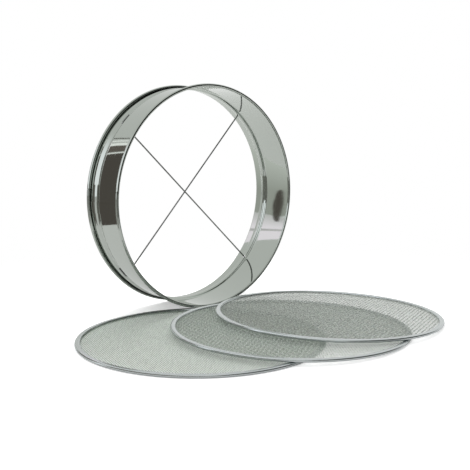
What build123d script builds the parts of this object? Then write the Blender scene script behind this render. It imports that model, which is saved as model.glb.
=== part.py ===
from build123d import *
from math import atan, cos, degrees, floor, hypot, radians, sin, sqrt
import os

# Drum sieve: a rolled steel hoop standing on its wall, two crossed wires inside it,
# and three mesh discs fanned out on the table in front of its mouth.
# Millimetres. +Z is up, the hoop's axis runs along Y, and its mouth faces -Y.
# Angles on the hoop are clockwise from its top, seen from the mouth.

# Hoop
hoop_diameter = 300.0          # over the rolled rims
hoop_length = 71.0             # from mouth to foot, along Y
hoop_sheet = 0.6               # thickness of the steel strip
roll_diameter = 4.5            # outside of each rolled rim
roll_turn = 300.0              # degrees that the strip curls round the rim wire
rim_wire_clearance = 0.3

# Pressed bead: it stiffens the wall, and a disc sits on its shoulder
bead_from_foot = 18.5          # middle of the bead
bead_width = 12.0
bead_depth = 2.5

# Lap where the two ends of the strip meet
lap_butt_angle = -84.4         # the rolled rims meet here
lap_edge_angle = -90.2         # the tongue outside the wall ends here
butt_gap = 0.4
lap_from_rim = 6.5

# Crossed wires
wire_diameter = 2.0
wire_cross_gap = 0.1
wire_hole_diameter = 4.0
wire_groove_gap = 0.25         # between a bent end and the bottom of the bead's groove
wire_bend_radius = 1.6         # of the wire's centre line
wire_tail_length = 13.5
front_wire_angles = (133.2, -47.1)
back_wire_angles = (40.5, -134.7)

# Disc rims, alike on the three discs
disc_clearance = 1.0           # between a seated disc and the wall round it
rim_width = 6.5
rim_height = 4.0
rim_sheet = 0.5
rim_corner = 1.6               # on the inner side of a rim, whose back is fully round
core_wire_diameter = 2.4
core_clearance = 0.2
seat_gap = 0.3                 # between discs that lie on each other

# Nets: from strand to strand, a strand's width, the net's thickness, and its turn in degrees
fine_net = {"pitch": 14.8, "strand": 1.0, "thick": 0.5, "turn": 30.0}
medium_net = {"pitch": 17.4, "strand": 1.4, "thick": 0.7, "turn": 8.0}
coarse_net = {"pitch": 21.0, "strand": 2.0, "thick": 0.9, "turn": -22.0}
net_clearance = 0.05
least_gap_share = 0.15         # a gap that the rim cuts to less than this share is left out

# Where the discs lie: the fine one just clear of the mouth's rim, its middle this share of the
# hoop's diameter to the side of it, and the others by shares of their diameter from the fine one
fine_side_share = -0.3823
medium_shares = (0.3650, -0.1384)
coarse_shares = (0.6424, -0.1018)
rest_gap = 0.8                 # between the fine disc and the rolled rim that it lies before
search_steps = 360             # places round the rim that are tried for the closest one
settle_rounds = 6              # in which a tilted disc's lowest place is found

overrun = 2.0                  # by which a cutting shape passes what it cuts

# Sizes that follow
hoop_radius = hoop_diameter / 2
roll_radius = roll_diameter / 2
wall_radius = hoop_radius - roll_diameter
roll_line_radius = wall_radius + roll_radius
rim_wire_radius = roll_radius - hoop_sheet - rim_wire_clearance
bead_y = hoop_length - bead_from_foot
bead_turn = 2 * atan(2 * bead_depth / bead_width)
bead_bend = bead_width / (4 * sin(bead_turn))
groove_radius = wall_radius - bead_depth + hoop_sheet
wire_radius = wire_diameter / 2
wire_step = (wire_diameter + wire_cross_gap) / 2
tail_radius = groove_radius + wire_groove_gap + wire_radius
disc_radius = wall_radius - disc_clearance
rim_inner_radius = disc_radius - rim_width
rim_middle_radius = disc_radius - rim_width / 2
rim_back_radius = rim_height / 2
rim_edge_radius = disc_radius - rim_back_radius
core_radius = core_wire_diameter / 2
core_line_radius = disc_radius - rim_sheet - core_clearance - core_radius
net_radius = core_line_radius - core_radius - net_clearance


# Hoop


def wall_lines(depth, first, last):
    """Section of the wall's sheet, depth outside its inner face, between two places along Y."""
    radius = wall_radius + depth
    shoulder = bead_bend - hoop_sheet / 2 + depth
    crest = bead_bend + hoop_sheet / 2 - depth
    turn = degrees(bead_turn)
    start = Line((radius, first), (radius, bead_y - bead_width / 2))
    inward = JernArc(start @ 1, start % 1, shoulder, turn)
    over = JernArc(inward @ 1, inward % 1, crest, -2 * turn)
    outward = JernArc(over @ 1, over % 1, shoulder, turn)
    end = Line(outward @ 1, (radius, last))
    return [start, inward, over, outward, end]


def strip_lines(depth):
    """Section of one side of the whole strip: the wall between the curls of the two rims."""
    radius = roll_radius - depth
    mouth = CenterArc((roll_line_radius, roll_radius), radius, 180, roll_turn)
    foot = CenterArc((roll_line_radius, hoop_length - roll_radius), radius, 180, -roll_turn)
    return [mouth, *wall_lines(depth, roll_radius, hoop_length - roll_radius), foot]


def strip_section():
    inside, outside = strip_lines(0), strip_lines(hoop_sheet)
    lips = [Line(inside[k] @ 1, outside[k] @ 1) for k in (0, -1)]
    return make_face(inside + outside + lips)


def tongue_section():
    ends = (lap_from_rim, hoop_length - lap_from_rim)
    inside, outside = wall_lines(hoop_sheet, *ends), wall_lines(2 * hoop_sheet, *ends)
    sides = [Line(inside[0] @ 0, outside[0] @ 0), Line(inside[-1] @ 1, outside[-1] @ 1)]
    return make_face(inside + outside + sides)


def hoop_point(radius, angle, y):
    return Vector(radius * sin(radians(angle)), y, hoop_radius + radius * cos(radians(angle)))


def at_angle(shape, angle):
    """Turns a shape made on +X to an angle of the hoop, and lifts it to the hoop's axis."""
    return Pos(0, 0, hoop_radius) * Rot(0, angle - 90, 0) * shape


def wire_plane(y):
    """The plane across the hoop at y, seen from the mouth, with its origin on the axis."""
    return Plane((0, y, hoop_radius), x_dir=(1, 0, 0), z_dir=(0, -1, 0))


def on_circle(radius, angle):
    return Vector(radius * sin(radians(angle)), radius * cos(radians(angle)))


def chord(angles):
    """A crossed wire's straight run: its direction, its offset from the axis and its normal."""
    start, end = (on_circle(wall_radius, angle) for angle in angles)
    along = (end - start).normalized()
    normal = Vector(-along.Y, along.X)
    return along, start.dot(normal), normal


def wire_end(along, offset, normal):
    """One end of a crossed wire: where the run stops, the bend's middle and the bent tail."""
    # The tail lies clockwise of the run, on the side of the run's normal turned the same way.
    side = Vector(along.Y, -along.X)
    sideways = normal.dot(side)
    level = offset * sideways + wire_bend_radius
    reach = sqrt((tail_radius - wire_bend_radius) ** 2 - level**2)
    centre = along * reach + side * level
    stop = centre - side * wire_bend_radius
    meets = centre * (tail_radius / (tail_radius - wire_bend_radius))
    halfway = ((stop - centre).normalized() + (meets - centre).normalized()).normalized()
    bend = ThreePointArc(stop, centre + halfway * wire_bend_radius, meets)
    sweep_angle = degrees(wire_tail_length / tail_radius)
    middle = meets.rotate(Axis.Z, -sweep_angle / 2)
    tail = ThreePointArc(meets, middle, meets.rotate(Axis.Z, -sweep_angle))
    return stop, bend, tail


def cross_wire(angles, y):
    along, offset, normal = chord(angles)
    first_stop, first_bend, first_tail = wire_end(along * -1, offset, normal)
    last_stop, last_bend, last_tail = wire_end(along, offset, normal)
    path = Wire([first_tail, first_bend, Line(first_stop, last_stop), last_bend, last_tail])
    start = Plane(first_tail @ 1, z_dir=first_tail % 1)
    wire = sweep(start * Circle(wire_radius), path=path)
    return wire_plane(y) * wire


def wire_holes(angles, y):
    """The two holes that a crossed wire's run leaves the wall through."""
    along, offset, normal = chord(angles)
    holes = []
    for way in (along, along * -1):
        from_axis = normal * offset + way * (tail_radius - bead_depth - overrun)
        line = Plane(from_axis, z_dir=way)
        hole = extrude(line * Circle(wire_hole_diameter / 2), 2 * bead_depth + 2 * overrun)
        holes.append(wire_plane(y) * hole)
    return holes


def butt_cuts():
    """The gaps in the two rolled rims where the strip's ends meet."""
    low = wall_radius + hoop_sheet
    high = hoop_radius + overrun
    cuts = []
    for middle in (roll_radius, hoop_length - roll_radius):
        block = Box(high - low, roll_diameter + overrun, butt_gap)
        cuts.append(at_angle(Pos((low + high) / 2, middle, 0) * block, lap_butt_angle))
    return cuts


def hoop_band():
    band = at_angle(revolve(strip_section(), Axis.Y), 0)
    tongue = revolve(tongue_section(), Axis.Y, lap_butt_angle - lap_edge_angle)
    band += at_angle(tongue, lap_edge_angle)
    holes = wire_holes(front_wire_angles, bead_y - wire_step)
    holes += wire_holes(back_wire_angles, bead_y + wire_step)
    return band - holes - butt_cuts()


def rim_wire(y):
    ring = revolve(Pos(roll_line_radius, y) * Circle(rim_wire_radius), Axis.Y)
    return at_angle(ring, 0)


# Discs, each made flat with the middle of its underside at the origin


def fold_face(depth):
    """A disc rim's section, depth inside its surface: a round back and a front with two corners."""
    corner = rim_corner - depth
    front = rim_inner_radius + depth
    bottom = Line((front + corner, depth), (rim_edge_radius, depth))
    back = JernArc(bottom @ 1, bottom % 1, rim_back_radius - depth, 180)
    top = Line(back @ 1, (front + corner, rim_height - depth))
    upper = JernArc(top @ 1, top % 1, corner, 90)
    side = Line(upper @ 1, (front, depth + corner))
    lower = JernArc(side @ 1, side % 1, corner, 90)
    return make_face([bottom, back, top, upper, side, lower])


def disc_rim(net):
    """A strip folded over the edge of the net, open on its inner side where the net comes out."""
    slot = net["thick"] + 2 * net_clearance
    opening = Rectangle(2 * rim_sheet + net_clearance, slot)
    section = fold_face(0) - fold_face(rim_sheet) - Pos(rim_inner_radius, rim_height / 2) * opening
    return revolve(Plane.XZ * section, Axis.Z)


def core_ring():
    section = Pos(core_line_radius, rim_height / 2) * Circle(core_radius)
    return revolve(Plane.XZ * section, Axis.Z)


def net_gaps(net):
    """The square gaps of a net as wires, those at the rim cut to its circle."""
    edge = Circle(rim_inner_radius - net_clearance)
    side = net["pitch"] - net["strand"]
    count = floor(rim_inner_radius / net["pitch"]) + 1
    gaps = []
    for column in range(-count, count):
        for row in range(-count, count):
            x, y = (column + 0.5) * net["pitch"], (row + 0.5) * net["pitch"]
            gap = Pos(x, y) * Rectangle(side, side)
            if hypot(abs(x) + side / 2, abs(y) + side / 2) > rim_inner_radius - net_clearance:
                gap = gap & edge
            if gap and gap.area > least_gap_share * side**2:
                gaps += [face.outer_wire() for face in gap.faces()]
    return gaps


def disc_net(net):
    sheet = Face(Wire.make_circle(net_radius), net_gaps(net))
    flat = extrude(sheet, net["thick"])
    return Pos(0, 0, (rim_height - net["thick"]) / 2) * Rot(0, 0, net["turn"]) * flat


# How the discs lie: each lower one carries the next where their rims cross


def rim_crossings(lower, upper):
    """The two places, in plan, where the rims of two discs cross."""
    apart = Vector(*upper) - Vector(*lower)
    half = apart.length / 2
    middle = (Vector(*lower) + Vector(*upper)) / 2
    side = Vector(-apart.Y, apart.X).normalized() * sqrt(rim_middle_radius**2 - half**2)
    return [middle + side, middle - side]


def height_on(plane, point):
    """The height of a tilted plane over a place in plan."""
    slope = plane.z_dir
    away = point - plane.origin
    return plane.origin.Z - (slope.X * away.X + slope.Y * away.Y) / slope.Z


def lying_on(plane, lower, upper):
    """The underside of a disc that lies on a lower disc and on the table beyond it."""
    lift = rim_height + seat_gap
    supports = [
        Vector(point.X, point.Y, height_on(plane, point) + lift)
        for point in rim_crossings(lower, upper)
    ]
    downhill = Vector(*upper) - Vector(*lower)
    for _ in range(settle_rounds):
        foot = Vector(*upper) + downhill.normalized() * rim_edge_radius
        slope = (supports[1] - supports[0]).cross(foot - supports[0]).normalized()
        slope = slope if slope.Z > 0 else slope * -1
        downhill = Vector(slope.X, slope.Y)
    tilted = Plane(foot, z_dir=slope)
    centre = Vector(upper[0], upper[1], height_on(tilted, Vector(*upper)))
    return Plane(centre, x_dir=(1, 0, 0), z_dir=slope)


def fine_disc_place():
    """In plan, the middle of the fine disc, slid towards the mouth until its rim meets the roll."""
    side = fine_side_share * hoop_diameter
    least = rim_back_radius + roll_radius + rest_gap
    reach = []
    for step in range(-search_steps, search_steps):
        point = hoop_point(roll_line_radius, 180 - 90 * step / search_steps, roll_radius)
        above = max(0, point.Z - rim_back_radius)
        across = abs(point.X - side)
        if above < least and across < rim_edge_radius:
            clear = rim_edge_radius + sqrt(least**2 - above**2)
            reach.append(point.Y - sqrt(clear**2 - across**2))
    return side, min(reach)


def beside(place, shares):
    """A place in plan, by shares of a disc's diameter from another."""
    return tuple(start + share * 2 * disc_radius for start, share in zip(place, shares))


fine_place = fine_disc_place()
medium_place = beside(fine_place, medium_shares)
coarse_place = beside(fine_place, coarse_shares)
fine_plane = Plane((*fine_place, 0))
medium_plane = lying_on(fine_plane, fine_place, medium_place)
coarse_plane = lying_on(medium_plane, medium_place, coarse_place)

parts = {
    "hoop_band": hoop_band(),
    "mouth_rim_wire": rim_wire(roll_radius),
    "foot_rim_wire": rim_wire(hoop_length - roll_radius),
    "front_cross_wire": cross_wire(front_wire_angles, bead_y - wire_step),
    "back_cross_wire": cross_wire(back_wire_angles, bead_y + wire_step),
}
discs = {
    "fine": (fine_plane, fine_net),
    "medium": (medium_plane, medium_net),
    "coarse": (coarse_plane, coarse_net),
}
for name, (plane, net) in discs.items():
    parts[f"{name}_disc_rim"] = plane * disc_rim(net)
    parts[f"{name}_disc_core_ring"] = plane * core_ring()
    parts[f"{name}_disc_net"] = plane * disc_net(net)

# The origin is under the middle of everything, on the table.
box = Compound(children=[Part(shape.wrapped) for shape in parts.values()]).bounding_box()
shift = Pos(-box.center().X, -box.center().Y, 0)
print("moved by", shift.position)
for place, plane in (("fine", fine_plane), ("medium", medium_plane), ("coarse", coarse_plane)):
    print(place, "disc at", plane.origin + shift.position, "facing", plane.z_dir)

os.makedirs("parts", exist_ok=True)
for name, shape in parts.items():
    export_step(shift * shape, f"parts/{name}.step")
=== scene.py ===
"""Dresses the frame of a drum sieve: steel finishes, woven wire cloth in its discs, and a studio round it."""

import math
from typing import NamedTuple

import bpy
from bpy.props import FloatProperty, FloatVectorProperty, PointerProperty
from mathutils import Matrix, Vector


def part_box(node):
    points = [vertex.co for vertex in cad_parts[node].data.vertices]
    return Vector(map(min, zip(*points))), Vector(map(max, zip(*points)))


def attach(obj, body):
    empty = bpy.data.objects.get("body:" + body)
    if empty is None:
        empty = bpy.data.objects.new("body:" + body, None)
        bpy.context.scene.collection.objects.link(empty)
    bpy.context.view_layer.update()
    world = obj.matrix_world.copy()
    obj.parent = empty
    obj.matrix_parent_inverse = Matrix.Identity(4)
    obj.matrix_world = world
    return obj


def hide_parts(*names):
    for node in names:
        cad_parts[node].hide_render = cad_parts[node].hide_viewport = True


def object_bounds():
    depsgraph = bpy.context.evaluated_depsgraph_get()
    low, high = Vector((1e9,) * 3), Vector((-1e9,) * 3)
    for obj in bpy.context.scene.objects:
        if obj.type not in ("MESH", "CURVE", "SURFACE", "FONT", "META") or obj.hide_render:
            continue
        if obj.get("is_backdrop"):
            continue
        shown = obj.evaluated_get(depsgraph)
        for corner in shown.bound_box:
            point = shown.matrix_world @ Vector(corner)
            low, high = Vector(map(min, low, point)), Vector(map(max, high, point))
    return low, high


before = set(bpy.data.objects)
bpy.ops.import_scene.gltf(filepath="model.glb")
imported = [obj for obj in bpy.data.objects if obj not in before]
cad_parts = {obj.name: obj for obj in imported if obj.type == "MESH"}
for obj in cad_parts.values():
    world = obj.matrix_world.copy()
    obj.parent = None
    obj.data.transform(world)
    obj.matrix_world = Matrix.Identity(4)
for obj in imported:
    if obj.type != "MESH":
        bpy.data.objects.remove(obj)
cad_low, cad_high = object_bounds()

bl_info = {
    "name": "Drum sieve",
    "version": (1, 0),
    "blender": (4, 5, 0),
    "location": "3D View > Sidebar > Drum sieve",
    "description": "Finishes, woven discs and studio of a drum sieve",
    "category": "Object",
}

DISCS = ("fine", "medium", "coarse")
hoop_low, hoop_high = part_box("hoop_band")
HOOP_RADIUS = (hoop_high.z - hoop_low.z) / 2
HOOP_LENGTH = hoop_high.y - hoop_low.y
HOOP_CENTRE = (hoop_low + hoop_high) / 2
MOUTH_FOOT = Vector((HOOP_CENTRE.x, hoop_low.y, hoop_low.z))
rim_low, rim_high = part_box("fine_disc_rim")
DISC_RADIUS = (rim_high.x - rim_low.x) / 2
RIM_HEIGHT = rim_high.z - rim_low.z


# Settings

MOST_LIGHT = 4                 # highest value of a colour that glows


def length_setting(name, description, default):
    return FloatProperty(name=name, description=description, default=default, unit="LENGTH")


def angle_setting(name, description, degrees):
    return FloatProperty(name=name, description=description, default=math.radians(degrees), subtype="ANGLE")


def angles_setting(name, description, degrees):
    return FloatVectorProperty(
        name=name,
        description=description,
        default=tuple(math.radians(each) for each in degrees),
        subtype="EULER",
        unit="ROTATION",
        size=len(degrees),
    )


def side_setting(name, description, default):
    return FloatVectorProperty(
        name=name, description=description, default=default, subtype="DIRECTION", size=3
    )


def colour_setting(name, description, default, highest=1):
    return FloatVectorProperty(
        name=name, description=description, default=default, subtype="COLOR", size=3, min=0, max=highest
    )


def light_setting(name, description, default):
    return colour_setting(name, description, default, MOST_LIGHT)


class HoopSettings(bpy.types.PropertyGroup):
    """Section of the rolled strip, its holes, butt and lap. Angles go clockwise from the top at the mouth."""

    sheet: length_setting("Sheet", "Thickness of the strip", 0.0006)
    roll: length_setting("Roll", "Outside diameter of a rolled rim", 0.0045)
    roll_turn: angle_setting("Roll turn", "By which a rim is curled", 295)
    bead_from_foot: length_setting("Bead", "From the foot to the bead's middle", 0.0185)
    bead_width: length_setting("Bead width", "Between the bead's edges", 0.0148)
    bead_depth: length_setting("Bead depth", "By which the bead is pressed in", 0.0025)
    hole: length_setting("Hole", "Diameter of the holes for the crossed wires", 0.004)
    front_wire: angles_setting("Front wire", "Where the front crossed wire leaves the wall", (133.2, -47.1))
    back_wire: angles_setting("Back wire", "Where the back crossed wire leaves the wall", (40.5, -134.7))
    butt_gap: length_setting("Butt gap", "Between the ends of the rolled rims", 0.0004)
    butt_angle: angle_setting("Butt", "Where the rolled rims' ends meet", -84.4)
    lap_angle: angle_setting("Lap", "End of the outer lap", -90.2)
    lap_from_rim: length_setting("Lap from rim", "From either rim to the lap's edge", 0.0065)


class RimSettings(bpy.types.PropertyGroup):
    """Section of the strip folded round each disc."""

    width: length_setting("Width", "Across the fold", 0.0065)
    sheet: length_setting("Sheet", "Thickness of the strip", 0.0005)
    corner: length_setting("Corner", "Radius of the fold's two inner corners", 0.0016)
    slot: length_setting("Slot", "That the net comes out of", 0.001)


class NetSettings(bpy.types.PropertyGroup):
    """Wire cloth of one disc."""

    pitch: length_setting("Pitch", "From one wire's middle to the next", 0.0022)
    wire: length_setting("Wire", "Diameter of the cloth's wires", 0.00049)
    turn: angle_setting("Turn", "Of the wires from the table's left to right", 0)
    colour: colour_setting("Colour", "Of the cloth's wires", (0.93, 1.0, 0.92))


class SieveSettings(bpy.types.PropertyGroup):
    """Sizes and colours of the sieve's dress."""

    hoop: PointerProperty(type=HoopSettings)
    rim: PointerProperty(type=RimSettings)
    fine_net: PointerProperty(type=NetSettings)
    medium_net: PointerProperty(type=NetSettings)
    coarse_net: PointerProperty(type=NetSettings)
    net_margin: length_setting("Net margin", "From the edge of the plain net to the cloth's", 0.0007)
    steel_colour: colour_setting("Steel", "Polished sheet of the hoop", (0.48, 0.515, 0.475))
    rim_colour: colour_setting("Disc rims", "Folded strip round each disc", (0.64, 0.68, 0.68))
    # Painted shade: near-black colour inside the rolled rims and on the wires and rings hidden in them, so
    # that the rims' slots read dark
    painted_shade_colour: colour_setting("Inside", "Unpolished steel inside the rolled rims", (0.05, 0.055, 0.05))
    wire_colour: colour_setting("Wires", "Drawn wire across the hoop", (0.36, 0.37, 0.36))


class StudioSettings(bpy.types.PropertyGroup):
    """Camera, light, and what polished steel shows of the light tent and the room round it."""

    camera_offset: FloatVectorProperty(
        name="Camera",
        description="From the place where the mouth's rim stands",
        default=(-0.6811, -0.8255, 0.25025),
        subtype="TRANSLATION",
        unit="LENGTH",
        size=3,
    )
    camera_azimuth: angle_setting("Azimuth", "Camera's turn from +Y towards +X", 41.193)
    camera_dip: angle_setting("Dip", "Camera's tilt below the horizon", 8.036)
    camera_lens: FloatProperty(name="Lens", description="Focal length in millimetres", default=61.456)
    tent_light: FloatProperty(name="Tent", description="Strength of the light from all round", default=0.8)
    panel_power: FloatProperty(name="Panel", description="Power of the soft panel in watts", default=14.0)
    tent_colour: light_setting("Tent's colour", "Cloth of the tent", (0.80, 0.81, 0.80))
    bright_side: side_setting("Bright side", "Direction of the tent's lit wall", (-0.995, 0.1, 0.0))
    bright_colour: light_setting("Bright side's colour", "Lit wall of the tent", (1.40, 1.42, 1.50))
    dark_side: side_setting("Dark side", "Direction of the darker room", (0.42, -0.906, 0.0))
    dark_colour: light_setting("Dark side's colour", "Darker room", (0.03, 0.03, 0.03))
    opening_colour: light_setting("Opening", "Dark room behind the tent's opening", (0.12, 0.105, 0.095))
    leaf_colour: light_setting("Leaf", "Brown leaf beside the opening", (0.19, 0.165, 0.15))
    strip_colour: light_setting("Strips", "White strips beside the opening", (1.4, 1.4, 1.4))
    dim_colour: light_setting("Dim sheet", "Cloth low at the back of the tent", (0.56, 0.575, 0.54))
    low_colour: light_setting("Dim sheet's foot", "The same cloth next to the table", (0.85, 0.87, 0.84))
    sheet_colour: light_setting("Pale sheet", "Brighter cloth at the back of the tent", (1.42, 1.30, 1.44))
    shadow_colour: light_setting("Pale sheet's foot", "The same cloth in its shadow", (0.9, 0.88, 0.9))
    edge_colour: light_setting("Sheet's edge", "Fold across the pale sheet", (0.80, 0.77, 0.80))
    side_colour: light_setting("Sides", "Dark room beside the tent", (0.22, 0.215, 0.20))
    deep_colour: light_setting("Depth", "Darkest room, behind the camera", (0.10, 0.10, 0.095))


NET_SIZES = {
    "fine": {"pitch": 0.0017, "wire": 0.00037, "turn": math.radians(30), "colour": (0.62, 0.72, 0.61)},
    "medium": {"pitch": 0.0022, "wire": 0.00049, "turn": math.radians(8), "colour": (0.93, 1.0, 0.92)},
    "coarse": {"pitch": 0.0033, "wire": 0.00067, "turn": math.radians(-22), "colour": (0.95, 1.0, 0.94)},
}


# Modelling helpers

MERGE_GAP = 0.00001
ARC_STEP = math.radians(12)
BEAD_STEP = math.radians(5)
FLAT_EDGE = 0.0004             # a flat's last strip before a bend, which keeps its shading flat
SHARP_EDGE = math.radians(40)
UPWARD = 0.9                   # Z of the normal of a face that looks up
HOOP_STEPS = 480
LAP_STEPS = 12
RIM_STEPS = 300
HOLE_SIDES = 24


def deselect_all():
    if bpy.context.mode != "OBJECT":
        bpy.ops.object.mode_set(mode="OBJECT")
    bpy.ops.object.select_all(action="DESELECT")


def select_only(piece):
    deselect_all()
    piece.select_set(True)
    bpy.context.view_layer.objects.active = piece


def join(pieces):
    """Joins pieces into the first of them."""
    select_only(pieces[0])
    for piece in pieces[1:]:
        piece.select_set(True)
    bpy.ops.object.join()
    return bpy.context.object


def apply_modifier(piece, kind, **values):
    """Adds a modifier with these values and applies it."""
    select_only(piece)
    modifier = piece.modifiers.new(kind.title(), kind)
    for name, value in values.items():
        setattr(modifier, name, value)
    bpy.ops.object.modifier_apply(modifier=modifier.name)


def repeat(piece, count, step):
    apply_modifier(
        piece,
        "ARRAY",
        count=count,
        use_relative_offset=False,
        use_constant_offset=True,
        constant_offset_displace=step,
        use_merge_vertices=True,
        merge_threshold=MERGE_GAP,
    )


def in_edit_mode(piece):
    select_only(piece)
    bpy.ops.object.mode_set(mode="EDIT")
    bpy.ops.mesh.select_all(action="SELECT")


def arc(centre, radius, start, turn, step_angle=ARC_STEP):
    """Points of an arc in a section's plane, from its start over its turn."""
    count = max(2, round(abs(turn) / step_angle))
    angles = [start + turn * step / count for step in range(count + 1)]
    return [(centre[0] + radius * math.cos(angle), centre[1] + radius * math.sin(angle)) for angle in angles]


def draw_outline(name, points):
    """A closed line drawn through these points, starting from a plane that is merged to one."""
    deselect_all()
    bpy.ops.mesh.primitive_plane_add(size=MERGE_GAP, location=points[0])
    piece = bpy.context.object
    piece.name = piece.data.name = name
    bpy.ops.object.transform_apply(location=True)
    in_edit_mode(piece)
    bpy.ops.mesh.merge(type="CENTER")
    for first, second in zip(points, points[1:] + points[:1]):
        bpy.ops.mesh.extrude_region_move(TRANSFORM_OT_translate={"value": second - first})
    bpy.ops.mesh.select_all(action="SELECT")
    bpy.ops.mesh.remove_doubles(threshold=MERGE_GAP)
    return piece


def spin_outline(name, points, centre, axis, steps, angle=math.tau):
    """A body of revolution from a closed outline, or a part of one with closed ends."""
    piece = draw_outline(name, points)
    if angle != math.tau:
        bpy.ops.mesh.edge_face_add()
    bpy.ops.mesh.spin(steps=steps, angle=angle, center=centre, axis=axis)
    bpy.ops.mesh.select_all(action="SELECT")
    bpy.ops.mesh.remove_doubles(threshold=MERGE_GAP)
    bpy.ops.mesh.normals_make_consistent(inside=False)
    deselect_all()
    return piece


def shade(piece):
    select_only(piece)
    bpy.ops.object.shade_smooth_by_angle(angle=SHARP_EDGE)


def cut(piece, cutters):
    """Takes the cutters out of a piece."""
    joined = join(cutters)
    apply_modifier(piece, "BOOLEAN", operation="DIFFERENCE", solver="EXACT", object=joined)
    bpy.data.objects.remove(joined)


def finish_piece(piece, body, slot, material, *replaced):
    """Gives a new piece its finish and its body, and hides the nodes that it stands for."""
    piece.data.materials.clear()
    piece.data.materials.append(material)
    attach(piece, body)
    if replaced:
        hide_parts(*replaced)


def dress_nodes(names, material):
    for name in names:
        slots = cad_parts[name].data.materials
        slots.clear()
        slots.append(material)


def disc_frame(name):
    """Where a disc lies: the middle of its net, with its upward side as Z."""
    low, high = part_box(f"{name}_disc_rim")
    up = Vector()
    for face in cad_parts[f"{name}_disc_net"].data.polygons:
        if face.normal.z > UPWARD:
            up += face.normal * face.area
    up.normalize()
    right = Vector((1, 0, 0))
    right = (right - up * right.dot(up)).normalized()
    turned = Matrix((right, up.cross(right), up)).transposed().to_4x4()
    return Matrix.Translation((low + high) / 2) @ turned


# Shader helpers

NOISE_SPAN = (0.3, 0.7)        # where nearly all values of a noise lie


def nodes_of(name):
    """A new material's nodes, its links and its Principled shader."""
    material = bpy.data.materials.new(name)
    material.use_nodes = True
    nodes, links = material.node_tree.nodes, material.node_tree.links
    return material, nodes, links, nodes["Principled BSDF"]


def noise(nodes, links, stretch, scale, detail=2.0, kind="POINT", turn=0.0):
    """Noise on the piece's own coordinates, which a Mapping node of this kind stretches and turns about Z."""
    place = nodes.new("ShaderNodeTexCoord")
    mapping = nodes.new("ShaderNodeMapping")
    mapping.vector_type = kind
    mapping.inputs["Rotation"].default_value = (0, 0, turn)
    mapping.inputs["Scale"].default_value = stretch
    texture = nodes.new("ShaderNodeTexNoise")
    texture.inputs["Scale"].default_value = scale
    texture.inputs["Detail"].default_value = detail
    links.new(place.outputs["Object"], mapping.inputs["Vector"])
    links.new(mapping.outputs["Vector"], texture.inputs["Vector"])
    return texture.outputs["Fac"]


def ranged(nodes, links, value, start, end, smooth=False):
    """A value spread from its own range, start, over the range end, and held there."""
    spread = nodes.new("ShaderNodeMapRange")
    if smooth:
        spread.interpolation_type = "SMOOTHSTEP"
    spread.inputs["From Min"].default_value, spread.inputs["From Max"].default_value = start
    spread.inputs["To Min"].default_value, spread.inputs["To Max"].default_value = end
    links.new(value, spread.inputs["Value"])
    return spread.outputs["Result"]


def computed(nodes, links, operation, first, second):
    """What a Math node makes of an output and a second one, or a value."""
    node = nodes.new("ShaderNodeMath")
    node.operation = operation
    links.new(first, node.inputs[0])
    if isinstance(second, bpy.types.NodeSocket):
        links.new(second, node.inputs[1])
    else:
        node.inputs[1].default_value = second
    return node.outputs["Value"]


def mixed(nodes, links, factor, first, second):
    """Mixes two colours, each a value or another node's output."""
    mix = nodes.new("ShaderNodeMix")
    mix.data_type = "RGBA"
    for name, colour in (("A", first), ("B", second)):
        if isinstance(colour, bpy.types.NodeSocket):
            links.new(colour, mix.inputs[name])
        else:
            mix.inputs[name].default_value = (*colour, 1)
    links.new(factor, mix.inputs["Factor"])
    return mix.outputs["Result"]


def patchy(nodes, links, value, colour, depth):
    """A colour that is darkened by up to depth where a noise value is low."""
    darker = [channel * (1 - depth) for channel in colour]
    return mixed(nodes, links, value, darker, colour)


def bumped(nodes, links, height, distance):
    bump = nodes.new("ShaderNodeBump")
    bump.inputs["Strength"].default_value = 1.0
    bump.inputs["Distance"].default_value = distance
    links.new(height, bump.inputs["Height"])
    return bump.outputs["Normal"]


# Finishes


class Finish(NamedTuple):
    """How a steel's surface varies: its fine grain, its tone from patch to patch, and how wavy it is."""

    grain: tuple
    grain_scale: float
    roughness: tuple
    depth: float
    waviness: float


FINISHES = {
    "hoop_steel": Finish((0.05, 1.0, 0.05), 200.0, (0.04, 0.06), 0.06, 0.00011),
    "disc_rim_steel": Finish((0.3, 0.3, 1.0), 200.0, (0.20, 0.25), 0.08, 0.00005),
    # painted shade: finish of the near-black steel painted inside the rolled rims, on the rim wires and on
    # the core rings
    "painted_shade_steel": Finish((1.0, 1.0, 1.0), 900.0, (0.45, 0.60), 0.2, 0.0),
    "wire_steel": Finish((1.0, 1.0, 1.0), 900.0, (0.16, 0.30), 0.2, 0.0001),
}
EVENLY = (1, 1, 1)
PATCHES = {"scale": 14.0, "detail": 3.0}
WAVES = {"scale": 22.0, "detail": 1.0}

CLOTH_ROUGHNESS = 0.3
# Painted sheen on the cloth: lighter and darker moiré-like streaks, longer along the camera's line of sight
CLOTH_SHEEN_STREAKS = {              # their size across and along in metres, and their depth
    "fine": ((0.0019, 0.024, 1), 0.16),
    "medium": ((0.0016, 0.005, 1), 0.42),
    "coarse": ((0.0022, 0.005, 1), 0.42),
}
CLOTH_SHEEN_TURN = math.radians(-41)


def steel(name, colour):
    """Steel whose roughness follows its grain, with a tone in patches and a slightly wavy sheet."""
    finish = FINISHES[name]
    material, nodes, links, shader = nodes_of(name)
    shader.inputs["Metallic"].default_value = 1.0
    lines = noise(nodes, links, finish.grain, finish.grain_scale)
    patches = noise(nodes, links, EVENLY, **PATCHES)
    links.new(patchy(nodes, links, patches, colour, finish.depth), shader.inputs["Base Color"])
    links.new(ranged(nodes, links, lines, NOISE_SPAN, finish.roughness), shader.inputs["Roughness"])
    waves = noise(nodes, links, EVENLY, **WAVES)
    links.new(bumped(nodes, links, waves, finish.waviness), shader.inputs["Normal"])
    return material


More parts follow.
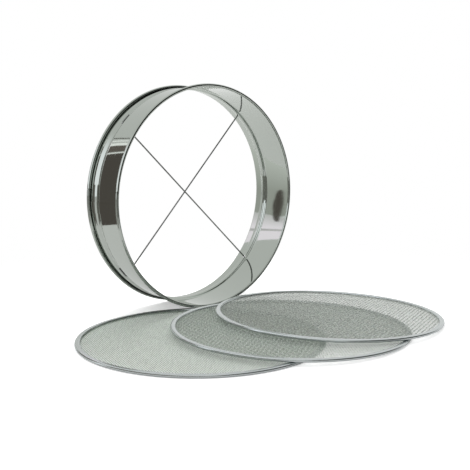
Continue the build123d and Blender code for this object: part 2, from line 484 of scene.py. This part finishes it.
def cloth_steel(disc, colour):
    """Wire with a painted sheen: its colour darkens in moiré-like streaks of a stretched and turned noise."""
    material, nodes, links, shader = nodes_of(f"{disc}_cloth_steel")
    shader.inputs["Metallic"].default_value = 1.0
    shader.inputs["Roughness"].default_value = CLOTH_ROUGHNESS
    size, depth = CLOTH_SHEEN_STREAKS[disc]
    patches = noise(nodes, links, size, 1.0, 0.0, "TEXTURE", CLOTH_SHEEN_TURN)
    sheen = ranged(nodes, links, patches, NOISE_SPAN, (0.0, 1.0))
    links.new(patchy(nodes, links, sheen, colour, depth), shader.inputs["Base Color"])
    return material


# Hoop

INNER_SHARE = 0.75             # of the sheet's thickness, past which a face is inside its roll
CUTTER_SHARE = 3               # length of a hole's cutter, in diameters of a roll


def wall_points(hoop, depth):
    """Section of the wall's sheet with its bead, depth outside its inner face, as (radius, y)."""
    radius = HOOP_RADIUS - hoop.roll + depth
    turn = 2 * math.atan(2 * hoop.bead_depth / hoop.bead_width)
    bend = hoop.bead_width / (4 * math.sin(turn))
    shoulder = bend - hoop.sheet / 2 + depth
    crest = bend + hoop.sheet / 2 - depth
    middle = HOOP_LENGTH - hoop.bead_from_foot
    first = (radius - shoulder, middle - hoop.bead_width / 2)
    last = (radius - shoulder, middle + hoop.bead_width / 2)
    apex = (first[0] + (shoulder + crest) * math.cos(turn), middle)
    points = [(radius, first[1] - FLAT_EDGE), *arc(first, shoulder, 0, turn, BEAD_STEP)]
    points += arc(apex, crest, math.pi + turn, -2 * turn, BEAD_STEP)[1:-1]
    return points + arc(last, shoulder, -turn, turn, BEAD_STEP) + [(radius, last[1] + FLAT_EDGE)]


def strip_points(hoop, depth):
    """Section of the strip from one rim's roll over the wall to the other's, depth inside the sheet."""
    line = HOOP_RADIUS - hoop.roll / 2
    radius = hoop.roll / 2 - depth
    wall = line - radius
    ends = (hoop.roll / 2, HOOP_LENGTH - hoop.roll / 2)
    mouth = arc((line, ends[0]), radius, math.pi, hoop.roll_turn)
    foot = arc((line, ends[1]), radius, math.pi, -hoop.roll_turn)
    straight = [(wall, ends[0] + FLAT_EDGE), *wall_points(hoop, depth), (wall, ends[1] - FLAT_EDGE)]
    return mouth[::-1] + straight + foot


def at_angle(radius, y, angle):
    """A place on the hoop, its angle clockwise from the top, seen from the mouth."""
    up = Vector((math.sin(angle), 0, math.cos(angle))) * radius
    return Vector((HOOP_CENTRE.x, hoop_low.y + y, HOOP_CENTRE.z)) + up


def make_strip(hoop):
    outline = strip_points(hoop, 0) + strip_points(hoop, hoop.sheet)[::-1]
    places = [at_angle(radius, y, 0) for radius, y in outline]
    return spin_outline("hoop_strip", places, HOOP_CENTRE, (0, 1, 0), HOOP_STEPS)


def make_lap(hoop):
    """The outer end of the strip, which lies on the wall from the butt to the lap's edge."""
    edge = hoop.lap_from_rim
    ends = (edge, HOOP_LENGTH - edge)
    lines = []
    for depth in (hoop.sheet, 2 * hoop.sheet):
        radius = HOOP_RADIUS - hoop.roll + depth
        lines.append([(radius, ends[0]), *wall_points(hoop, depth), (radius, ends[1])])
    outline = lines[0] + lines[1][::-1]
    places = [at_angle(radius, y, hoop.lap_angle) for radius, y in outline]
    turn = hoop.butt_angle - hoop.lap_angle
    return spin_outline("hoop_lap", places, HOOP_CENTRE, (0, 1, 0), LAP_STEPS, turn)


def paint_shade_inside(piece, hoop, material):
    """Paints shade inside the rolled rims: faces within a roll get the near-black painted shade finish."""
    piece.data.materials.append(material)
    line = HOOP_RADIUS - hoop.roll / 2
    ends = (hoop_low.y + hoop.roll / 2, hoop_high.y - hoop.roll / 2)
    inside = hoop.roll / 2 - hoop.sheet * INNER_SHARE
    for face in piece.data.polygons:
        away = math.hypot(face.center.x - HOOP_CENTRE.x, face.center.z - HOOP_CENTRE.z) - line
        if min(math.hypot(away, face.center.y - end) for end in ends) < inside:
            face.material_index = 1


def hole_cutters(hoop):
    """A cylinder along each crossed wire's run where it leaves the wall."""
    cutters = []
    for name, angles in (("front_cross_wire", hoop.front_wire), ("back_cross_wire", hoop.back_wire)):
        low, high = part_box(name)
        y = (low.y + high.y) / 2 - hoop_low.y
        ends = [at_angle(HOOP_RADIUS - hoop.roll, y, angle) for angle in angles]
        along = (ends[1] - ends[0]).to_track_quat("Z", "Y").to_euler()
        for end in ends:
            deselect_all()
            bpy.ops.mesh.primitive_cylinder_add(
                vertices=HOLE_SIDES,
                radius=hoop.hole / 2,
                depth=CUTTER_SHARE * hoop.roll,
                location=end,
                rotation=along,
            )
            cutters.append(bpy.context.object)
    return cutters


def butt_cutters(hoop):
    """A thin block across each rolled rim where its ends meet, outside the wall."""
    cutters = []
    low = HOOP_RADIUS - hoop.roll + hoop.sheet
    for y in (hoop.roll / 2, HOOP_LENGTH - hoop.roll / 2):
        deselect_all()
        bpy.ops.mesh.primitive_cube_add(
            size=1,
            location=at_angle(low + hoop.roll, y, hoop.butt_angle),
            rotation=(0, hoop.butt_angle, 0),
            scale=(hoop.butt_gap, 2 * hoop.roll, 2 * hoop.roll),
        )
        cutters.append(bpy.context.object)
    return cutters


# Discs


def rim_points(rim, depth):
    """Half a disc rim's section above its middle, from the slot round to the back, as (radius, z)."""
    front = DISC_RADIUS - rim.width + depth
    half = RIM_HEIGHT / 2
    corner = rim.corner - depth
    points = [(front, rim.slot / 2)]
    points += arc((front + corner, half - rim.corner), corner, math.pi, -math.pi / 2)
    return points + arc((DISC_RADIUS - half, 0), half - depth, math.pi / 2, -math.pi / 2)


def make_disc_rim(disc, rim):
    upper, inner = rim_points(rim, 0), rim_points(rim, rim.sheet)
    outline = upper + [(radius, -z) for radius, z in upper[-2::-1]]
    outline += [(radius, -z) for radius, z in inner] + inner[-2::-1]
    places = [Vector((radius, 0, z)) for radius, z in outline]
    piece = spin_outline(f"{disc}_fold", places, (0, 0, 0), (0, 0, 1), RIM_STEPS)
    piece.matrix_world = disc_frame(disc)
    select_only(piece)
    bpy.ops.object.transform_apply(location=True, rotation=True)
    shade(piece)
    return piece


# Nets

WEAVE_SIDES = 4                # of a cloth wire's section
WEAVE_PLAY = 1.04              # between crossing wires, in shares of their diameter


def woven_wire(name, net, phase):
    """One period of a cloth wire along X, over one crossing wire and under the next."""
    deselect_all()
    rise = phase * net.wire * WEAVE_PLAY / 2
    bpy.ops.mesh.primitive_circle_add(
        vertices=WEAVE_SIDES,
        radius=net.wire / 2,
        location=(0, 0, rise),
        rotation=(0, math.radians(90), 0),
    )
    piece = bpy.context.object
    piece.name = piece.data.name = name
    bpy.ops.object.transform_apply(location=True, rotation=True)
    bpy.ops.object.mode_set(mode="EDIT")
    for drop in (-2 * rise, 2 * rise):
        bpy.ops.mesh.extrude_region_move(TRANSFORM_OT_translate={"value": (net.pitch, 0, drop)})
    deselect_all()
    return piece


def cloth_wires(name, net, radius):
    """All wires of a net that run along X, cut to its circle."""
    periods = math.ceil(radius / net.pitch)
    reach = periods * net.pitch
    rows = []
    for index, phase in enumerate((1, -1)):
        row = woven_wire(f"{name}_{index}", net, phase)
        repeat(row, periods, (2 * net.pitch, 0, 0))
        repeat(row, periods, (0, 2 * net.pitch, 0))
        row.location = (-reach, -reach + (index + 0.5) * net.pitch, 0)
        bpy.ops.object.transform_apply(location=True)
        rows.append(row)
    piece = join(rows)
    piece.name = piece.data.name = name
    trim_to_circle(piece, net.pitch, radius)
    return piece


def trim_to_circle(piece, pitch, radius):
    """Deletes the rings of each wire outside a circle and closes the wires' ends."""
    select_only(piece)
    for vertex in piece.data.vertices:
        x, y = vertex.co.x, vertex.co.y
        row = (math.floor(y / pitch) + 0.5) * pitch
        vertex.select = math.hypot(round(x / pitch) * pitch, row) > radius
    for edge in piece.data.edges:
        edge.select = all(piece.data.vertices[index].select for index in edge.vertices)
    for face in piece.data.polygons:
        face.select = all(piece.data.vertices[index].select for index in face.vertices)
    bpy.ops.object.mode_set(mode="EDIT")
    bpy.ops.mesh.delete(type="VERT")
    bpy.ops.mesh.select_all(action="SELECT")
    bpy.ops.mesh.fill_holes(sides=WEAVE_SIDES)
    bpy.ops.mesh.normals_make_consistent(inside=False)
    deselect_all()


def disc_net(disc, settings):
    """The two sets of crossing wires of one disc."""
    net = getattr(settings, f"{disc}_net")
    material = cloth_steel(disc, net.colour)
    low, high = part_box(f"{disc}_disc_net")
    radius = (high.y - low.y) / 2 - settings.net_margin
    place = disc_frame(disc)
    for kind, turn, flip in (("warp", 0, 1), ("weft", math.radians(90), -1)):
        piece = cloth_wires(f"{disc}_{kind}_wires", net, radius)
        lift = Matrix.Diagonal((1, 1, flip, 1))
        piece.matrix_world = place @ Matrix.Rotation(net.turn + turn, 4, "Z") @ lift
        select_only(piece)
        bpy.ops.object.transform_apply(location=True, rotation=True, scale=True)
        in_edit_mode(piece)
        bpy.ops.mesh.normals_make_consistent(inside=False)
        select_only(piece)
        bpy.ops.object.shade_smooth()
        replaced = [f"{disc}_disc_net"] if kind == "warp" else []
        finish_piece(piece, f"{disc}_disc", "mesh_steel", material, *replaced)


# Studio

FLOOR_SIZE = 12.0
FLOOR_SEEN = (0.36, 0.62)      # from its middle to where the camera sees it in full, and not at all
FLOOR_GLOW = 0.42
FLOOR_GREY = (0.8, 0.8, 0.8)
WHITE = (1, 1, 1)
PANEL_SIZE = 1.2
PANEL_PLACE = (0.6, 1.0, 1.5)
BRIGHT_FADE = (0.55, 0.85)     # share of a direction towards the side, where it begins to show and is full
DARK_FADE = (0.45, 0.65)
CAMERA_REACH = 20

BACK = 5 * HOOP_LENGTH         # from the mouth to the cards behind the hoop
CARD_GAP = 0.001               # between cards that overlap
STRIPS_EDGE = Vector((-0.2775, BACK, 0.35))
STRIPS_LEAN = 19.8             # in degrees, as the cards' lean is
STRIPS_HEIGHT = 0.17
STRIPS = (                     # from the edge of the opening, side by side
    ("opening_top", -0.2, 0.0, "opening"),
    ("opening_edge", 0.0, 0.005, "strip"),
    ("brown_leaf", 0.007, 0.040, "leaf"),
    ("white_strip", 0.041, 0.054, "strip"),
    ("thin_strip", 0.063, 0.069, "strip"),
    ("dark_line", 0.079, 0.084, "opening"),
)


class Card(NamedTuple):
    """An upright card: its middle from the mouth's foot, its colours' names, its lean and turn in degrees."""

    name: str
    middle: tuple
    size: tuple
    colour: str
    lean: float = 0
    foot: str = ""
    oval: bool = False
    turn: float = 0


SHEET_LEAN = -26
CARDS = (
    Card("dark_opening", (-0.361, BACK, 0.145), (0.198, 0.29), "opening"),
    Card("dim_sheet", (-0.29, BACK + 2 * CARD_GAP, 0.1165), (0.62, 0.233), "dim", foot="low"),
    Card("pale_sheet", (-0.127, BACK + CARD_GAP, 0.270), (0.26, 0.111), "sheet", SHEET_LEAN, "shadow"),
    Card("sheet_edge", (-0.131, BACK, 0.284), (0.26, 0.009), "edge", SHEET_LEAN),
    Card("oval_foot", (-0.1831, BACK - CARD_GAP, 0.148), (0.0235, 0.084), "opening", -5, oval=True),
    Card("oval_middle", (-0.1790, BACK - CARD_GAP, 0.181), (0.0305, 0.118), "opening", -9.5, oval=True),
    Card("oval_top", (-0.1709, BACK - CARD_GAP, 0.214), (0.0235, 0.084), "opening", -14, oval=True),
    Card("left_room", (-0.38, 0.225, 0.1025), (0.25, 0.205), "side", turn=90),
    Card("front_room", (-0.38, -0.33, 0.0925), (0.60, 0.185), "side", turn=90),
    Card("front_right_room", (0.30, -0.75, 0.125), (1.20, 0.25), "deep", turn=180),
)


def strip_cards():
    """The opening's top and the strips beside it, side by side on a leaning line."""
    lean = math.radians(STRIPS_LEAN)
    right = Vector((math.cos(lean), 0, math.sin(lean)))
    for name, low, high, colour in STRIPS:
        middle = STRIPS_EDGE + right * (low + high) / 2
        yield Card(name, middle, (high - low, STRIPS_HEIGHT), colour, STRIPS_LEAN)


def lit_by_rays(nodes, links, *rays):
    """1 for rays of the named kinds, and 0 for the rest."""
    path = nodes.new("ShaderNodeLightPath")
    total = path.outputs[rays[0]]
    for ray in rays[1:]:
        total = computed(nodes, links, "MAXIMUM", total, path.outputs[ray])
    return total


def towards(nodes, links, side, fade):
    """Rises from 0 to 1 where a direction's share towards this side runs through the range fade."""
    place = nodes.new("ShaderNodeTexCoord")
    share = nodes.new("ShaderNodeVectorMath")
    share.operation = "DOT_PRODUCT"
    share.inputs[1].default_value = side
    links.new(place.outputs["Generated"], share.inputs[0])
    return ranged(nodes, links, share.outputs["Value"], fade, (0, 1), smooth=True)


def make_world(studio):
    """White for the camera, even light for dull surfaces, and a bright and a dark side for polished ones."""
    world = bpy.data.worlds.new("light_tent")
    bpy.context.scene.world = world
    world.use_nodes = True
    nodes, links = world.node_tree.nodes, world.node_tree.links
    seen = lit_by_rays(nodes, links, "Is Camera Ray")
    shown = lit_by_rays(nodes, links, "Is Glossy Ray", "Is Transmission Ray")
    bright = towards(nodes, links, studio.bright_side, BRIGHT_FADE)
    tent = mixed(nodes, links, bright, studio.tent_colour, studio.bright_colour)
    dark = towards(nodes, links, studio.dark_side, DARK_FADE)
    tent = mixed(nodes, links, dark, tent, studio.dark_colour)
    inner = mixed(nodes, links, shown, (studio.tent_light,) * 3, tent)
    links.new(mixed(nodes, links, seen, inner, WHITE), nodes["Background"].inputs["Color"])


def floor_material():
    """White with a soft glow for the camera, which sees through it away from its middle."""
    material, nodes, links, shader = nodes_of("floor")
    seen = lit_by_rays(nodes, links, "Is Camera Ray")
    links.new(mixed(nodes, links, seen, FLOOR_GREY, WHITE), shader.inputs["Base Color"])
    shader.inputs["Roughness"].default_value = 1.0
    shader.inputs["Specular IOR Level"].default_value = 0.0
    shader.inputs["Emission Color"].default_value = (*WHITE, 1)
    links.new(computed(nodes, links, "MULTIPLY", seen, FLOOR_GLOW), shader.inputs["Emission Strength"])
    place = nodes.new("ShaderNodeTexCoord")
    away = nodes.new("ShaderNodeVectorMath")
    away.operation = "LENGTH"
    links.new(place.outputs["Object"], away.inputs[0])
    fade = ranged(nodes, links, away.outputs["Value"], FLOOR_SEEN, (0, 1), smooth=True)
    clear = nodes.new("ShaderNodeBsdfTransparent")
    mix = nodes.new("ShaderNodeMixShader")
    links.new(computed(nodes, links, "MULTIPLY", fade, seen), mix.inputs["Fac"])
    links.new(shader.outputs["BSDF"], mix.inputs[1])
    links.new(clear.outputs["BSDF"], mix.inputs[2])
    links.new(mix.outputs["Shader"], nodes["Material Output"].inputs["Surface"])
    return material


def make_floor():
    """A white table that the camera sees only round the sieve, where its shadow falls."""
    deselect_all()
    bpy.ops.mesh.primitive_plane_add(size=FLOOR_SIZE, location=(0, 0, cad_low.z))
    floor = bpy.context.object
    floor.name = "floor"
    floor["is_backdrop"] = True
    floor.data.materials.append(floor_material())


def make_panel(studio):
    deselect_all()
    bpy.ops.object.light_add(type="AREA", location=PANEL_PLACE)
    panel = bpy.context.object
    panel.data.shape = "SQUARE"
    panel.data.size = PANEL_SIZE
    panel.data.energy = studio.panel_power
    panel.rotation_euler = (-Vector(PANEL_PLACE)).to_track_quat("-Z", "Y").to_euler()
    panel.visible_glossy = False


def card_material(name, foot, colour):
    """Glows in the foot's colour at the lower edge and in the other one from the middle up."""
    material, nodes, links, shader = nodes_of(name)
    nodes.remove(shader)
    emission = nodes.new("ShaderNodeEmission")
    split = nodes.new("ShaderNodeSeparateXYZ")
    links.new(nodes.new("ShaderNodeTexCoord").outputs["Object"], split.inputs["Vector"])
    rise = ranged(nodes, links, split.outputs["Y"], (-0.5, 0.0), (0, 1))
    links.new(mixed(nodes, links, rise, foot, colour), emission.inputs["Color"])
    links.new(emission.outputs["Emission"], nodes["Material Output"].inputs["Surface"])
    return material


def make_card(studio, card):
    """An upright card round the sieve that only polished steel shows."""
    deselect_all()
    if card.oval:
        bpy.ops.mesh.primitive_circle_add(radius=0.5, fill_type="NGON")
    else:
        bpy.ops.mesh.primitive_plane_add(size=1)
    piece = bpy.context.object
    piece.name = card.name
    upright = Matrix.Rotation(math.radians(card.turn), 4, "Z") @ Matrix.Rotation(math.radians(90), 4, "X")
    turned = upright @ Matrix.Rotation(math.radians(card.lean), 4, "Z")
    place = Matrix.Translation(MOUTH_FOOT + Vector(card.middle))
    piece.matrix_world = place @ turned @ Matrix.Diagonal((*card.size, 1, 1))
    piece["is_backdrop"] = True
    foot, colour = (getattr(studio, f"{name}_colour") for name in (card.foot or card.colour, card.colour))
    piece.data.materials.append(card_material(card.name, foot, colour))
    piece.visible_camera = False
    piece.visible_diffuse = False
    piece.visible_shadow = False
    piece.visible_transmission = False


def make_camera(studio):
    deselect_all()
    place = MOUTH_FOOT + Vector(studio.camera_offset)
    turn = (math.radians(90) - studio.camera_dip, 0, -studio.camera_azimuth)
    bpy.ops.object.camera_add(location=place, rotation=turn)
    camera = bpy.context.object
    camera.data.lens = studio.camera_lens
    camera.data.clip_end = CAMERA_REACH
    bpy.context.scene.camera = camera


# Operators


class SIEVE_OT_hoop(bpy.types.Operator):
    """Gives the hoop band its polished steel"""

    bl_idname = "sieve.hoop"
    bl_label = "Hoop"

    def execute(self, context):
        settings = context.scene.sieve
        material = steel("hoop_steel", settings.steel_colour)
        strip = make_strip(settings.hoop)
        cut(strip, hole_cutters(settings.hoop) + butt_cutters(settings.hoop))
        lap = make_lap(settings.hoop)
        for piece in (strip, lap):
            shade(piece)
        finish_piece(strip, "hoop", "hoop_steel", material, "hoop_band")
        # Painted shade on the inside of the rolled rims
        paint_shade_inside(strip, settings.hoop, steel("painted_shade_steel", settings.painted_shade_colour))
        finish_piece(lap, "hoop", "hoop_steel", material)
        return {"FINISHED"}


class SIEVE_OT_wires(bpy.types.Operator):
    """Gives the crossed wires drawn steel, and the wires inside the rims and the discs' core rings the
    near-black painted shade
    """

    bl_idname = "sieve.wires"
    bl_label = "Wires"

    def execute(self, context):
        settings = context.scene.sieve
        dress_nodes(["front_cross_wire", "back_cross_wire"], steel("wire_steel", settings.wire_colour))
        # Painted shade: the rim wires and the discs' core rings take the near-black painted shade steel
        hidden = ["mouth_rim_wire", "foot_rim_wire", *(f"{disc}_disc_core_ring" for disc in DISCS)]
        dress_nodes(hidden, bpy.data.materials["painted_shade_steel"])
        return {"FINISHED"}


class SIEVE_OT_disc_rims(bpy.types.Operator):
    """Gives the folded rims of the discs their steel"""

    bl_idname = "sieve.disc_rims"
    bl_label = "Disc rims"

    def execute(self, context):
        settings = context.scene.sieve
        material = steel("disc_rim_steel", settings.rim_colour)
        for disc in DISCS:
            piece = make_disc_rim(disc, settings.rim)
            finish_piece(piece, f"{disc}_disc", "disc_rim_steel", material, f"{disc}_disc_rim")
        return {"FINISHED"}


class SIEVE_OT_nets(bpy.types.Operator):
    """Weaves the wire cloth of the three discs"""

    bl_idname = "sieve.nets"
    bl_label = "Nets"

    def execute(self, context):
        for disc in DISCS:
            disc_net(disc, context.scene.sieve)
        return {"FINISHED"}


class SIEVE_OT_studio(bpy.types.Operator):
    """Sets the floor, the light tent, the soft panel, the cards and the camera"""

    bl_idname = "sieve.studio"
    bl_label = "Studio"

    def execute(self, context):
        studio = context.scene.sieve_studio
        make_world(studio)
        make_floor()
        make_panel(studio)
        for card in (*strip_cards(), *CARDS):
            make_card(studio, card)
        make_camera(studio)
        context.scene.view_settings.view_transform = "Standard"
        return {"FINISHED"}


class SIEVE_PT_panel(bpy.types.Panel):
    """Lists the steps that dress the sieve"""

    bl_label = "Drum sieve"
    bl_idname = "SIEVE_PT_panel"
    bl_space_type = "VIEW_3D"
    bl_region_type = "UI"
    bl_category = "Drum sieve"

    def draw(self, context):
        for step in STEPS:
            self.layout.operator(step.bl_idname)


STEPS = (SIEVE_OT_hoop, SIEVE_OT_wires, SIEVE_OT_disc_rims, SIEVE_OT_nets, SIEVE_OT_studio)
CLASSES = (HoopSettings, RimSettings, NetSettings, SieveSettings, StudioSettings, *STEPS, SIEVE_PT_panel)


def register():
    for each in CLASSES:
        bpy.utils.register_class(each)
    bpy.types.Scene.sieve = PointerProperty(type=SieveSettings)
    bpy.types.Scene.sieve_studio = PointerProperty(type=StudioSettings)


def unregister():
    del bpy.types.Scene.sieve_studio
    del bpy.types.Scene.sieve
    for each in reversed(CLASSES):
        bpy.utils.unregister_class(each)


def main():
    register()
    settings = bpy.context.scene.sieve
    for disc, sizes in NET_SIZES.items():
        for name, value in sizes.items():
            setattr(getattr(settings, f"{disc}_net"), name, value)
    for step in STEPS:
        group, name = step.bl_idname.split(".")
        getattr(getattr(bpy.ops, group), name)()
    low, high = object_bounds()
    sizes = {"cad": [list(cad_low), list(cad_high)], "visual": [list(low), list(high)]}


if __name__ == "__main__":
    main()
